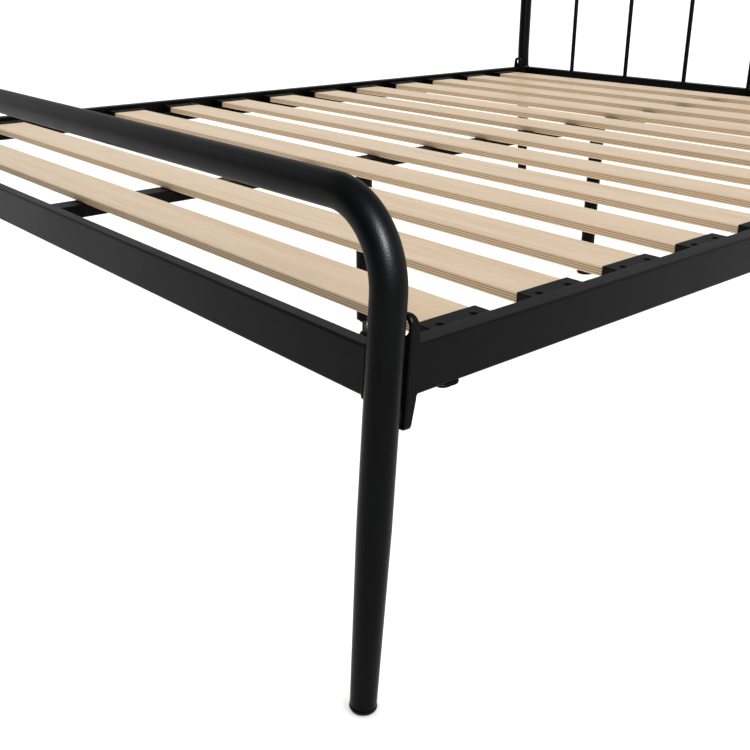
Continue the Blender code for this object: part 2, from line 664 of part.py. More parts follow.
def make_slats(wood):
    """Flat wooden slats with eased edges, on the ledges and the beam."""
    half_length = LEG_X - SIDE_RAIL_WIDTH / 2 - SLAT_END_GAP
    outline = rounded_rectangle(SLAT_WIDTH, SLAT_THICKNESS, 0.003, steps=2)
    bm = bmesh.new()
    loft(bm, [[Vector((x, y, z)) for y, z in outline] for x in (-half_length, half_length)])
    mesh = finish_mesh(bm, "slat")
    height = SLAT_REST + GAP + SLAT_THICKNESS / 2
    for i in range(SLAT_COUNT):
        y = -SLAT_END_Y + 2 * SLAT_END_Y * i / (SLAT_COUNT - 1)
        add_piece(f"slat_{i + 1:02d}", mesh, wood, Matrix.Translation((0, y, height)))


def main():
    for old in list(bpy.data.objects):
        bpy.data.objects.remove(old, do_unlink=True)
    steel = make_material("black_powder_coat", (0.012, 0.012, 0.013), 0.50, 0.0)
    zinc = make_material("black_zinc", (0.050, 0.050, 0.052), 0.40, 0.9)
    plastic = make_material("black_plastic", (0.020, 0.020, 0.021), 0.55, 0.0)
    wood = make_material("birch_slat", (0.640, 0.480, 0.300), 0.55, 0.0)

    make_hoop("footboard_hoop", FOOT, steel)
    make_hoop("headboard_hoop", HEAD, steel)
    make_end_rail("foot_rail", FOOT, steel)
    make_end_rail("head_rail", HEAD, steel)
    make_headboard_bars(steel)
    make_corner_joints(steel, zinc)
    make_leg_caps(plastic)
    drill = make_cross_drill()
    make_side_rails(steel, drill)
    make_cross_bars(steel, drill)
    make_cross_bolts(zinc)
    make_centre_beam(steel)
    make_centre_legs(steel, plastic)
    make_slats(wood)


main()
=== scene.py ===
import json
import math

import bmesh
import bpy
from mathutils import Matrix, Vector


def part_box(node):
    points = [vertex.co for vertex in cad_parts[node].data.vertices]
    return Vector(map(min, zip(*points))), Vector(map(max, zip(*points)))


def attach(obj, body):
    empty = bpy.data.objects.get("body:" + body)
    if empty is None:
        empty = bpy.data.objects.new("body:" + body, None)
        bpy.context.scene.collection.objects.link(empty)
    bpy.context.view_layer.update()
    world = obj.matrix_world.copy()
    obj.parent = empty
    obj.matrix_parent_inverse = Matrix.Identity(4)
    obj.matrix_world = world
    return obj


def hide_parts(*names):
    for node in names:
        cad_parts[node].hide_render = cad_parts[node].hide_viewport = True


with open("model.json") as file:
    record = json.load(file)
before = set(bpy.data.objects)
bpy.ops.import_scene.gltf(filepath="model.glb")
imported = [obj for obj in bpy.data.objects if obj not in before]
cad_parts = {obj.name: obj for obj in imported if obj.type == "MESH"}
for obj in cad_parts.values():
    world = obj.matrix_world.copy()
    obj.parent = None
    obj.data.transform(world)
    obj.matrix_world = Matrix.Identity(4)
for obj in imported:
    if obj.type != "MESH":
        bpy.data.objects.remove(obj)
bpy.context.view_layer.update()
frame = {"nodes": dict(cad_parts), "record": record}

# Sizes, in metres. The first group is read from the frame.

MOUNTS = {mount["name"]: Vector(mount["pos_m"]) for mount in frame["record"]["mounts"]}
LEG_X = MOUNTS["floor_foot_right"].x
LEG_Y = -(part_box("foot_rail")[0].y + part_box("foot_rail")[1].y) / 2
RAIL_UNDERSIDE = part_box("side_rail_right")[0].z
SLAT_BOXES = {name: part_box(name) for name in sorted(frame["nodes"]) if name.startswith("slat_")}
SLAT_REST = SLAT_BOXES["slat_01"][0].z
BEAM_LOW, BEAM_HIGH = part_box("centre_beam")
CROSS_PLACES = {name: (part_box(f"cross_bar_{name}")[0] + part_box(f"cross_bar_{name}")[1]) / 2
                for name in ("foot", "middle", "head")}

RAIL_HEIGHT = 0.050
RAIL_WALL = 0.0015
RAIL_CORNER = 0.003
SIDE_RAIL_WIDTH = 0.025
END_RAIL_WIDTH = 0.020
RAIL_MIDDLE = RAIL_UNDERSIDE + RAIL_HEIGHT / 2
GAP = 0.0003

TUBE_RADIUS = 0.0175
TUBE_WALL = 0.0015
TUBE_SIDES = 60
BEND_RADIUS = 0.082
BEND_STEP = math.radians(3)
LEG_LEAN = math.radians(4.14)
LEG_TAPER_HEIGHT = 0.210
LEG_TIP_RADIUS = 0.0141
FOOT_HOOP_HEIGHT = 0.5235
HEAD_HOOP_HEIGHT = 0.980
HEAD_KINK_HEIGHT = 0.443
HEAD_KINK_RADIUS = 0.250
HEAD_BAR_COUNT = 7
HEAD_BAR_RADIUS = 0.006
CAP_RADIUS = 0.0148
CAP_HEIGHT = 0.0045
CAP_STEM_TOP = 0.028

BRACKET_FRONT = 0.0192
BRACKET_SHEET = 0.0022
BRACKET_BACK = BRACKET_FRONT + BRACKET_SHEET
BRACKET_DEPTH = 0.0128
BRACKET_END_DEPTH = 0.0085
BRACKET_INNER_DEPTH = 0.0050
BRACKET_HALF_HEIGHT = 0.0570
BRACKET_DROP = 0.0010
BRACKET_TOP_CORNER = 0.0095
BRACKET_FOOT_CORNER = 0.0060
FLANGE_SHOULDER = RAIL_HEIGHT / 2 + 0.002
STUD_HEIGHT = 0.0145
STUD_RADIUS = 0.0035
STUD_COLLAR_RADIUS = 0.0055
STUD_HEAD_RADIUS = 0.0053
STUD_HEAD_HEIGHT = 0.0037
KEYHOLE_RADIUS = 0.0070
KEYHOLE_HEIGHT = 0.0
WINDOW_RADIUS = 0.0088
WINDOW_HEIGHT = 0.0430
BOLT_HEIGHT = -0.0420
BOLT_RADIUS = 0.0040
BOLT_TIP = 0.0080
BOLT_HEAD_RADIUS = 0.0065
BOLT_HEAD_HEIGHT = 0.0050
BOLT_SOCKET = 0.0060
BOLT_SOCKET_DEPTH = 0.0030
BOLT_CLEARANCE = 0.0005
LUG_HALF_WIDTH = 0.0090
LUG_HALF_HEIGHT = 0.0068

CROSS_RADIUS = 0.0095
CROSS_FLAT = 0.0034
CROSS_HEIGHT = RAIL_UNDERSIDE - GAP - CROSS_FLAT / 2
CROSS_FLAT_LENGTH = 0.034
CROSS_NECK_LENGTH = 0.030
CROSS_END_CORNER = 0.007
CROSS_END = LEG_X + SIDE_RAIL_WIDTH / 2 - 0.0002
CROSS_WALL = 0.0012
CROSS_BOLT_LENGTH = 0.017
BEAM_BOLT_LENGTH = 0.030
WASHER_SEAT = CROSS_RADIUS + 0.0022
CENTRE_LEG_RADIUS = 0.016
CENTRE_LEG_WALL = 0.0015
CENTRE_LEG_BOTTOM = 0.045
STEM_RADIUS = 0.005
PAD_RADIUS = 0.020
LEDGE_WIDTH = 0.024
LEDGE_SHEET = 0.003
LEDGE_DROP = 0.014
LEDGE_HALF_LENGTH = 0.965
LEDGE_WELD_COUNT = 9
SLAT_CORNER = 0.0030

# Radii of the weld beads.
END_RAIL_BEAD = 0.0030
HEADBOARD_BAR_BEAD = 0.0012
LUG_BEAD = 0.0010
STUD_BEAD = 0.0006
BRACKET_BEAD = 0.0007
LEDGE_BEAD = 0.0018
CENTRE_LEG_FOOT_BEAD = 0.0009
CENTRE_LEG_TOP_BEAD = 0.0015

CAMERA_PLACE = (LEG_X + 0.6094, -LEG_Y - 0.5323, 0.7146)
CAMERA_DIP = 0.4038
CAMERA_TURN = 0.8625
CAMERA_LENS = 46.43
FLOOR_SIZE = 60.0

FOOT = -1
HEAD = 1
SIDES = (("left", -1), ("right", 1))
ENDS = (("foot", FOOT), ("head", HEAD))
CORNERS = [(f"{end_name}_{side_name}", side, end) for end_name, end in ENDS for side_name, side in SIDES]


# Materials

def set_socket(tree, socket, value):
    """Link a socket to a node's output, or give it a plain value."""
    if isinstance(value, bpy.types.NodeSocket):
        tree.links.new(value, socket)
    else:
        socket.default_value = value


class Shader:
    """A material's node tree, with short calls for the nodes that the materials share."""

    def __init__(self, name, colour, roughness, metallic=0.0, specular=0.5):
        self.material = bpy.data.materials.new(name)
        self.material.use_nodes = True
        self.tree = self.material.node_tree
        self.output = self.tree.nodes["Principled BSDF"]
        self.output.inputs["Base Color"].default_value = (*colour, 1)
        self.output.inputs["Roughness"].default_value = roughness
        self.output.inputs["Metallic"].default_value = metallic
        self.output.inputs["Specular IOR Level"].default_value = specular
        self.place = self.tree.nodes.new("ShaderNodeTexCoord").outputs["Object"]
        self.normal = None

    def node(self, kind, **sockets):
        node = self.tree.nodes.new(kind)
        for name, value in sockets.items():
            set_socket(self.tree, node.inputs[name.replace("_", " ")], value)
        return node

    def scaled(self, x, y, z):
        """The place on the object, stretched along each axis."""
        return self.node("ShaderNodeMapping", Vector=self.place, Scale=(x, y, z)).outputs["Vector"]

    def noise(self, scale, detail=2.0, place=None, distortion=0.0):
        node = self.node("ShaderNodeTexNoise", Vector=place or self.place, Scale=scale, Detail=detail,
                         Distortion=distortion)
        return node.outputs["Fac"]

    def ramp(self, value, stops):
        """A colour ramp; each stop is (position, colour)."""
        node = self.node("ShaderNodeValToRGB", Fac=value)
        for i, (position, colour) in enumerate(stops):
            stop = node.color_ramp.elements[i] if i < 2 else node.color_ramp.elements.new(position)
            stop.position = position
            stop.color = (*colour, 1)
        return node.outputs["Color"]

    def spread(self, value, low, high, start=0.3, end=0.7):
        """Map a value's usual range to low..high."""
        node = self.node("ShaderNodeMapRange", Value=value, From_Min=start, From_Max=end,
                         To_Min=low, To_Max=high)
        return node.outputs["Result"]

    def math(self, operation, first, second):
        node = self.tree.nodes.new("ShaderNodeMath")
        node.operation = operation
        for socket, value in zip(node.inputs, (first, second)):
            set_socket(self.tree, socket, value)
        return node.outputs["Value"]

    def mix(self, factor, first, second, blend='MIX'):
        node = self.tree.nodes.new("ShaderNodeMix")
        node.data_type = 'RGBA'
        node.blend_type = blend
        for index, value in ((0, factor), (6, first), (7, second)):
            set_socket(self.tree, node.inputs[index], value)
        return node.outputs[2]

    def bump(self, height, strength, distance):
        node = self.node("ShaderNodeBump", Height=height, Strength=strength, Distance=distance)
        if self.normal:
            self.tree.links.new(self.normal, node.inputs["Normal"])
        self.normal = node.outputs["Normal"]

    def finish(self, colour=None, roughness=None):
        for name, value in (("Base Color", colour), ("Roughness", roughness), ("Normal", self.normal)):
            if value:
                self.tree.links.new(value, self.output.inputs[name])
        return self.material


def powder_coat():
    """Satin black powder coat: fine orange peel, slow gloss changes, and rubbed specks."""
    shader = Shader("black_powder_coat", (0.00030, 0.00033, 0.00036), 0.36, specular=0.055)
    cloud = shader.noise(14.0, 4.0)
    grain = shader.noise(1300.0, 3.0)
    peel = shader.noise(640.0, 2.0)
    specks = shader.ramp(shader.noise(620.0, 1.0), [(0.70, (0, 0, 0)), (0.78, (1, 1, 1))])
    tone = shader.ramp(cloud, [(0.25, (0.00022, 0.00024, 0.00027)), (0.75, (0.00038, 0.00042, 0.00046))])
    colour = shader.mix(specks, tone, (0.0010, 0.0011, 0.0012, 1))
    gloss = shader.math('ADD', shader.spread(cloud, 0.33, 0.39), shader.spread(grain, -0.03, 0.03))
    shader.bump(peel, 0.45, 0.0004)
    shader.bump(grain, 0.16, 0.00014)
    return shader.finish(colour, gloss)


def weld_metal():
    """The same coat over a weld bead, which is rougher and a little duller."""
    shader = Shader("coated_weld", (0.00030, 0.00033, 0.00036), 0.46, specular=0.055)
    lumps = shader.noise(700.0, 3.0)
    tone = shader.ramp(lumps, [(0.3, (0.00024, 0.00026, 0.00029)), (0.7, (0.0006, 0.0007, 0.0008))])
    shader.bump(lumps, 0.35, 0.0003)
    return shader.finish(tone, shader.spread(lumps, 0.38, 0.54))


def black_zinc():
    """Blackened zinc on the fasteners: thin dark metal with turning marks and worn grey spots."""
    shader = Shader("black_zinc", (0.040, 0.040, 0.043), 0.36, metallic=0.85)
    blotch = shader.noise(180.0, 5.0)
    fine = shader.noise(1800.0, 3.0)
    tone = shader.ramp(blotch, [(0.30, (0.022, 0.022, 0.024)), (0.62, (0.050, 0.050, 0.053)),
                                (0.80, (0.095, 0.093, 0.090))])
    shader.bump(fine, 0.20, 0.0001)
    return shader.finish(tone, shader.spread(blotch, 0.30, 0.46))


def moulded_plastic():
    """Black polypropylene with the fine spark-eroded texture of its mould."""
    shader = Shader("black_plastic", (0.0022, 0.0022, 0.0024), 0.50, specular=0.10)
    texture = shader.noise(2400.0, 4.0)
    flow = shader.noise(60.0, 3.0, distortion=1.5)
    tone = shader.ramp(flow, [(0.3, (0.0017, 0.0017, 0.0019)), (0.7, (0.0028, 0.0028, 0.0030))])
    shader.bump(texture, 0.30, 0.00015)
    return shader.finish(tone, shader.spread(texture, 0.42, 0.56))


def birch():
    """Lacquered birch plywood: grain along the slat, fine fibres, and plies along the edges."""
    shader = Shader("birch_slat", (0.60, 0.45, 0.29), 0.48, specular=0.4)
    figure = shader.noise(1.0, 4.0, shader.scaled(2.2, 34.0, 60.0), 0.8)
    fibre = shader.noise(1.0, 3.0, shader.scaled(22.0, 900.0, 900.0))
    streak = shader.noise(1.0, 3.0, shader.scaled(1.3, 150.0, 150.0), 0.3)
    board = shader.noise(1.0, 0.0, shader.scaled(0.05, 7.3, 0.1))
    flecks = shader.ramp(shader.noise(1.0, 2.0, shader.scaled(60.0, 1500.0, 1500.0)),
                         [(0.62, (0, 0, 0)), (0.74, (1, 1, 1))])
    tone = shader.ramp(figure, [(0.25, (0.62, 0.485, 0.335)), (0.52, (0.55, 0.410, 0.265)),
                                (0.78, (0.44, 0.305, 0.180))])
    tone = shader.mix(shader.spread(streak, 0.0, 0.45), tone, (0.66, 0.54, 0.39, 1))
    tone = shader.mix(shader.spread(fibre, 0.0, 0.30), tone, (0.37, 0.255, 0.150, 1))
    tone = shader.mix(shader.math('MULTIPLY', flecks, 0.30), tone, (0.30, 0.18, 0.09, 1))
    tone = shader.mix(shader.spread(board, 0.0, 0.28), tone, (0.56, 0.40, 0.245, 1))
    split = shader.node("ShaderNodeSeparateXYZ", Vector=shader.place)
    ply = shader.math('SINE', shader.math('MULTIPLY', split.outputs["Z"], 2 * math.pi / 0.0030), 0.0)
    plies = shader.ramp(shader.spread(ply, 0.0, 1.0, -0.5, 0.5),
                        [(0.35, (0.58, 0.43, 0.27)), (0.65, (0.30, 0.19, 0.105))])
    facing = shader.tree.nodes.new("ShaderNodeTexCoord").outputs["Normal"]
    upward = shader.node("ShaderNodeSeparateXYZ", Vector=facing).outputs["Z"]
    on_edge = shader.math('LESS_THAN', shader.math('ABSOLUTE', upward, 0.0), 0.4)
    tone = shader.mix(on_edge, tone, plies)
    shader.bump(streak, 0.10, 0.0004)
    shader.bump(fibre, 0.22, 0.0002)
    return shader.finish(tone, shader.spread(fibre, 0.40, 0.58))


COAT = powder_coat()
WELD = weld_metal()
ZINC = black_zinc()
PLASTIC = moulded_plastic()
BIRCH = birch()


# Mesh tools

def add_piece(name, bm, material, replaces=(), body="frame", matrix=None, sharp=40):
    """Make an object of a bmesh, in world coordinates, that rides on a body."""
    bmesh.ops.recalc_face_normals(bm, faces=bm.faces)
    mesh = bpy.data.meshes.new(name)
    bm.to_mesh(mesh)
    bm.free()
    if matrix is not None:
        mesh.transform(matrix)
    mesh.shade_smooth()
    mesh.set_sharp_from_angle(angle=math.radians(sharp))
    mesh.materials.append(material)
    piece = bpy.data.objects.new(name, mesh)
    bpy.context.scene.collection.objects.link(piece)
    normals = piece.modifiers.new("normals", 'WEIGHTED_NORMAL')
    normals.keep_sharp = True
    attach(piece, body)
    if replaces:
        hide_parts(*replaces)
    return piece


def leg_frame(side, end):
    """The frame of one leg: X across the bed, Y to its middle, Z up the leg, from mid-rail."""
    turn = Matrix.Rotation(math.pi if end == HEAD else 0.0, 4, 'Z')
    lean = Matrix.Rotation(-LEG_LEAN, 4, 'X')
    return Matrix.Translation((side * LEG_X, end * LEG_Y, RAIL_MIDDLE)) @ turn @ lean


def loft(bm, rings, closed=False):
    """Join equal rings of points in order, into a loop of rings or a solid with two flat ends."""
    loops = [[bm.verts.new(point) for point in ring] for ring in rings]
    following = loops[1:] + loops[:1] if closed else loops[1:]
    for first, second in zip(loops, following):
        for i in range(len(first)):
            j = (i + 1) % len(first)
            bm.faces.new((first[i], first[j], second[j], second[i]))
    if not closed:
        bm.faces.new(loops[0])
        bm.faces.new(loops[-1])
    return loops


def solid(rings, closed=False):
    """A new bmesh with one loft in it."""
    bm = bmesh.new()
    loft(bm, rings, closed)
    return bm


def ring_across_x(outline, x):
    """The ring at one x of an outline of (y, z) pairs."""
    return [Vector((x, y, z)) for y, z in outline]


def ring_across_y(outline, y):
    """The ring at one y of an outline of (x, z) pairs."""
    return [Vector((x, y, z)) for x, z in outline]


def moved(rings, matrix):
    return [[matrix @ point for point in ring] for ring in rings]


def circle(radius, sides, height=0.0, start=0.0):
    turn = 2 * math.pi / sides
    return [Vector((radius * math.cos(start + i * turn), radius * math.sin(start + i * turn), height))
            for i in range(sides)]


def hexagon(across_flats, sides, height):
    """A hexagon as a ring of that many points, so that it joins a circle's ring."""
    ring = []
    for point in circle(1.0, sides, height):
        angle = math.atan2(point.y, point.x) % (math.pi / 3) - math.pi / 6
        reach = across_flats / 2 / math.cos(angle)
        ring.append(Vector((point.x * reach, point.y * reach, height)))
    return ring


def eased(points, radius, closed=False, steps=3):
    """The same line of 2D points with its corners rounded off."""
    line = [Vector(point) for point in points]
    result = []
    for i, point in enumerate(line):
        if not closed and i in (0, len(line) - 1):
            result.append(point)
            continue
        arms = [line[i - 1] - point, line[(i + 1) % len(line)] - point]
        start, finish = (point + arm * min(0.49, radius / arm.length) for arm in arms)
        for step in range(steps + 1):
            t = step / steps
            result.append(start * (1 - t) ** 2 + point * 2 * t * (1 - t) + finish * t * t)
    return result


def turned(profile, sides=32, easing=0.0, closed=False):
    """Rings of a solid of revolution about Z, from (radius, height) pairs."""
    line = eased(profile, easing, closed) if easing else profile
    return [circle(radius, sides, height) for radius, height in line]


def rounded_rectangle(width, height, corner, steps=6):
    """Outline centred on the origin, as (across, up) pairs."""
    points = []
    for quarter, (sx, sy) in enumerate(((1, 1), (-1, 1), (-1, -1), (1, -1))):
        for i in range(steps + 1):
            angle = (quarter + i / steps) * math.pi / 2
            points.append((sx * (width / 2 - corner) + corner * math.cos(angle),
                           sy * (height / 2 - corner) + corner * math.sin(angle)))
    return points


def split_across(outline, longest):
    """The same outline with points added where it runs further across than that."""
    points = []
    for (x, y), (next_x, next_y) in zip(outline, outline[1:] + outline[:1]):
        parts = max(1, math.ceil(abs(next_x - x) / longest))
        points += [(x + (next_x - x) * i / parts, y + (next_y - y) * i / parts) for i in range(parts)]
    return points


def split_evenly(outline, longest):
    """The same closed outline with points added so that no step is longer than that."""
    points = []
    for (x, y), (next_x, next_y) in zip(outline, outline[1:] + outline[:1]):
        parts = max(1, round(math.hypot(next_x - x, next_y - y) / longest))
        points += [(x + (next_x - x) * i / parts, y + (next_y - y) * i / parts) for i in range(parts)]
    return points


def bent_path(corners):
    """Points along straight runs joined by round bends; each corner is (point, bend radius)."""
    points = [corners[0][0]]
    for (before, _), (corner, radius), (after, _) in zip(corners, corners[1:], corners[2:]):
        if not radius:
            points.append(corner)
            continue
        back = (before - corner).normalized()
        ahead = (after - corner).normalized()
        turn = math.pi - back.angle(ahead)
        centre = corner + (back + ahead).normalized() * radius / math.cos(turn / 2)
        arm = corner + back * radius * math.tan(turn / 2) - centre
        axis = arm.cross(corner + ahead * radius * math.tan(turn / 2) - centre)
        steps = max(6, round(turn / BEND_STEP))
        points += [centre + Matrix.Rotation(turn * i / steps, 3, axis) @ arm for i in range(steps + 1)]
    points.append(corners[-1][0])
    return points


def tube_rings(points, radius_at, sides, reference=(0, 1, 0), closed=False):
    """One ring across the path at each point; radius_at takes the point's number and the point."""
    rings = []
    across = Vector(reference)
    last = len(points) - 1
    for i, point in enumerate(points):
        along = Vector()
        if i > 0 or closed:
            along += (point - points[i - 1]).normalized()
        if i < last or closed:
            along += (points[(i + 1) % len(points)] - point).normalized()
        along.normalize()
        across = Vector(reference) if closed else across
        across = (across - along * across.dot(along)).normalized()
        other = along.cross(across)
        radius = radius_at(i, point)
        rings.append([point + across * spot.x + other * spot.y for spot in circle(radius, sides)])
    return rings


def weld_bead(bm, points, radius, reference, closed=True, ripple=0.10, pitch=3):
    """A rippled bead along a line of points; its size swells and shrinks with each ripple."""
    def bead_radius(i, _):
        fade = 1.0 if closed else min(1.0, 0.35 + min(i, len(points) - 1 - i) * 0.25)
        return radius * fade * (1 + ripple * math.sin(2 * math.pi * i / pitch))
    loft(bm, tube_rings(points, bead_radius, 10, reference, closed), closed)


def hex_socket(across_flats, sides, top, depth):
    """Rings from a head's flat top into its hexagonal socket."""
    lip = across_flats * 0.06
    return [hexagon(across_flats + 2 * lip, sides, top), hexagon(across_flats, sides, top - lip),
            hexagon(across_flats, sides, top - depth), circle(across_flats * 0.30, sides, top - depth * 1.15)]


def threaded(radius, low, high, pitch, depth, sides=24, rows_per_turn=6):
    """Rings of a screw thread about Z, whose ridge winds round as a helix."""
    rows = round((high - low) / pitch * rows_per_turn)
    rings = []
    for row in range(rows + 1):
        height = low + (high - low) * row / rows
        ease = min(1.0, (high - height) / pitch, (height - low) / pitch)
        ring = []
        for i, spot in enumerate(circle(1.0, sides, height)):
            phase = (height / pitch - i / sides) % 1.0
            groove = depth * ease * abs(2 * phase - 1)
            ring.append(Vector((spot.x * (radius - groove), spot.y * (radius - groove), height)))
        rings.append(ring)
    return rings


# Hoops, legs and end rails

def leg_radius(_, point):
    """The leg's outside radius, which narrows towards the floor."""
    share = min(1.0, point.z / LEG_TAPER_HEIGHT)
    return LEG_TIP_RADIUS + (TUBE_RADIUS - LEG_TIP_RADIUS) * share


def leg_point(side, end, height):
    """The point of a leg's axis at a height above the floor."""
    return leg_frame(side, end) @ Vector((0, 0, (height - RAIL_MIDDLE) / math.cos(LEG_LEAN)))


def hoop_corners(end):
    """The corners of a hoop's tube, from the right leg's tip over the top to the left one's."""
    tip_height = (CAP_HEIGHT + GAP) * math.cos(LEG_LEAN)
    half = [(leg_point(1, end, tip_height), 0), (leg_point(1, end, LEG_TAPER_HEIGHT), 0)]
    if end == HEAD:
        kink = leg_point(1, end, HEAD_KINK_HEIGHT)
        half.append((kink, HEAD_KINK_RADIUS))
        half.append((Vector((kink.x, kink.y, HEAD_HOOP_HEIGHT)), BEND_RADIUS))
    else:
        half.append((leg_point(1, end, FOOT_HOOP_HEIGHT), BEND_RADIUS))
    mirrored = [(Vector((-point.x, point.y, point.z)), radius) for point, radius in reversed(half)]
    return half + mirrored


def make_hoop(name, end):
    path = bent_path(hoop_corners(end))
    tip = (path[1] - path[0]).normalized() * 0.0006
    path = [path[0], path[0] + tip] + path[1:-1] + [path[-1] + Vector((-tip.x, tip.y, tip.z)), path[-1]]
    last = len(path) - 1

    def outer_radius(i, point):
        return leg_radius(i, point) - (0.0004 if i in (0, last) else 0.0)

    outside = tube_rings(path, outer_radius, TUBE_SIDES)
    inside = tube_rings(path, lambda i, point: leg_radius(i, point) - TUBE_WALL, TUBE_SIDES)
    add_piece(f"fine_{name}", solid(outside + inside[::-1], closed=True), COAT, [name])


def rail_section(width, height, longest=1.0):
    """Outer and inner outlines of a rectangular tube, split to follow a curve."""
    return [split_across(rounded_rectangle(width - 2 * inset, height - 2 * inset, RAIL_CORNER - inset),
                         longest) for inset in (0.0, RAIL_WALL)]


def make_end_rail(name, end):
    """Rectangular tube across one end, cut to the round legs and welded to them all round."""
    reach = TUBE_RADIUS + GAP
    outer, inner = rail_section(END_RAIL_WIDTH, RAIL_HEIGHT, 0.0012)
    rings = []
    for outline, sign in ((outer, -1), (outer, 1), (inner, 1), (inner, -1)):
        rings.append([Vector((sign * (LEG_X - math.sqrt(reach ** 2 - y ** 2)), y, z)) for y, z in outline])
    add_piece(f"fine_{name}", solid(rings, closed=True), COAT, [name], matrix=leg_frame(0, end))

    for side_name, side in SIDES:
        outline = eased(rounded_rectangle(END_RAIL_WIDTH, RAIL_HEIGHT, RAIL_CORNER, 3), 0.002, True, 1)
        outline = split_evenly([tuple(point) for point in outline], 0.0011)
        line = [Vector((side * (LEG_X - math.sqrt(TUBE_RADIUS ** 2 - y ** 2)), y, z)) for y, z in outline]
        bm = bmesh.new()
        weld_bead(bm, line, END_RAIL_BEAD, (1, 0, 0))
        add_piece(f"weld_{name}_{side_name}", bm, WELD, matrix=leg_frame(0, end), sharp=80)


def make_headboard_bars():
    """Straight bars from the head rail's top up to the hoop, welded at both ends."""
    foot_of_bar = leg_frame(0, HEAD) @ Vector((0, 0, RAIL_HEIGHT / 2 + GAP))
    hoop_y = leg_point(1, HEAD, HEAD_KINK_HEIGHT).y
    spacing = 2 * LEG_X / (HEAD_BAR_COUNT + 1)

    def bar_ring(x, at_hoop, reach):
        ring = []
        for spot in circle(HEAD_BAR_RADIUS, 32):
            low = foot_of_bar.z + spot.y * math.tan(LEG_LEAN)
            high = HEAD_HOOP_HEIGHT - math.sqrt(reach ** 2 - spot.y ** 2)
            ring.append(Vector((x + spot.x, (hoop_y if at_hoop else foot_of_bar.y) + spot.y,
                                high if at_hoop else low)))
        return ring

    for i in range(HEAD_BAR_COUNT):
        x = -LEG_X + spacing * (i + 1)
        bar = solid([bar_ring(x, at_hoop, TUBE_RADIUS + GAP) for at_hoop in (False, True)])
        add_piece(f"fine_headboard_bar_{i + 1}", bar, COAT, [f"headboard_bar_{i + 1}"])
        bm = bmesh.new()
        for at_hoop in (False, True):
            weld_bead(bm, bar_ring(x, at_hoop, TUBE_RADIUS), HEADBOARD_BAR_BEAD, (0, 0, 1), pitch=4)
        add_piece(f"weld_headboard_bar_{i + 1}", bm, WELD, sharp=80)


def make_leg_caps():
    """Moulded plastic cap under each leg; its underside is level on the floor."""
    stem = LEG_TIP_RADIUS - TUBE_WALL - GAP
    profile = [(0.0118, -0.0022), (0.0125, -0.0016), (0.0143, 0.0012), (CAP_RADIUS, 0.0024),
               (CAP_RADIUS, CAP_HEIGHT - 0.0008), (CAP_RADIUS - 0.0006, CAP_HEIGHT), (stem, CAP_HEIGHT),
               (stem, CAP_STEM_TOP - 0.002), (stem - 0.002, CAP_STEM_TOP)]
    along_leg = -RAIL_MIDDLE / math.cos(LEG_LEAN)
    for corner, side, end in CORNERS:
        place = leg_frame(side, end) @ Matrix.Translation((0, 0, along_leg))
        bm = solid(moved(turned(profile, 64, 0.0005), place))
        cut = bmesh.ops.bisect_plane(bm, geom=bm.verts[:] + bm.edges[:] + bm.faces[:], dist=1e-7,
                                     plane_co=(0, 0, 0), plane_no=(0, 0, -1), clear_outer=True)
        rim = [item for item in cut["geom_cut"] if isinstance(item, bmesh.types.BMEdge)]
        bmesh.ops.edgeloop_fill(bm, edges=rim)
        add_piece(f"fine_leg_cap_{corner}", bm, PLASTIC, [f"leg_cap_{corner}"])


# Brackets and what joins them to the legs

def arc(centre_height, radius, start, end, steps):
    angles = [start + (end - start) * i / steps for i in range(steps + 1)]
    return [(radius * math.cos(angle), centre_height + radius * math.sin(angle)) for angle in angles]


def keyhole_outline(grow=0.0):
    slot = STUD_RADIUS + GAP + grow
    mouth = math.acos(slot / (KEYHOLE_RADIUS + grow))
    return (arc(KEYHOLE_HEIGHT, KEYHOLE_RADIUS + grow, mouth, -math.pi - mouth, 36)
            + arc(STUD_HEIGHT, slot, math.pi, 0.0, 16))


def window_outline(grow=0.0):
    return [(spot.x, WINDOW_HEIGHT + spot.y) for spot in circle(WINDOW_RADIUS + grow, 48)]


def bolt_hole_outline(grow=0.0):
    return [(spot.x, BOLT_HEIGHT + spot.y) for spot in circle(BOLT_RADIUS + BOLT_CLEARANCE + grow, 28)]


def bracket_outline(inset):
    """The bracket's rounded outline, with extra points down its long sides."""
    half_width = SIDE_RAIL_WIDTH / 2 - inset
    height = 2 * (BRACKET_HALF_HEIGHT - inset)
    top_shape = rounded_rectangle(2 * half_width, height, BRACKET_TOP_CORNER - inset, steps=12)
    foot_shape = rounded_rectangle(2 * half_width, height, BRACKET_FOOT_CORNER - inset, steps=12)
    upper = [(x, z - BRACKET_DROP) for x, z in top_shape if z > 0]
    lower = [(x, z - BRACKET_DROP) for x, z in foot_shape if z < 0]
    levels = [FLANGE_SHOULDER + 0.0012 * (8 - i) for i in range(9)]
    left = [(-half_width, level) for level in levels]
    left += [(-half_width, -level) for level in reversed(levels)]
    right = [(half_width, level) for _, level in reversed(left)]
    return upper + left + lower + right


def flange_edge(across, up, inner):
    """How far the flange reaches: full at the rail, less towards the ends, least on the inner side."""
    depth = BRACKET_DEPTH
    if abs(up) > FLANGE_SHOULDER:
        beyond = abs(up) - FLANGE_SHOULDER
        run = BRACKET_HALF_HEIGHT - BRACKET_DROP - FLANGE_SHOULDER
        depth += (BRACKET_END_DEPTH - BRACKET_DEPTH) * min(1.0, beyond / run)
        fall = min(1.0, beyond / 0.007)
        inward = (1 + inner * across / (SIDE_RAIL_WIDTH / 2)) / 2
        depth += (BRACKET_INNER_DEPTH - depth) * inward * fall * fall * (3 - 2 * fall)
    return BRACKET_FRONT + depth


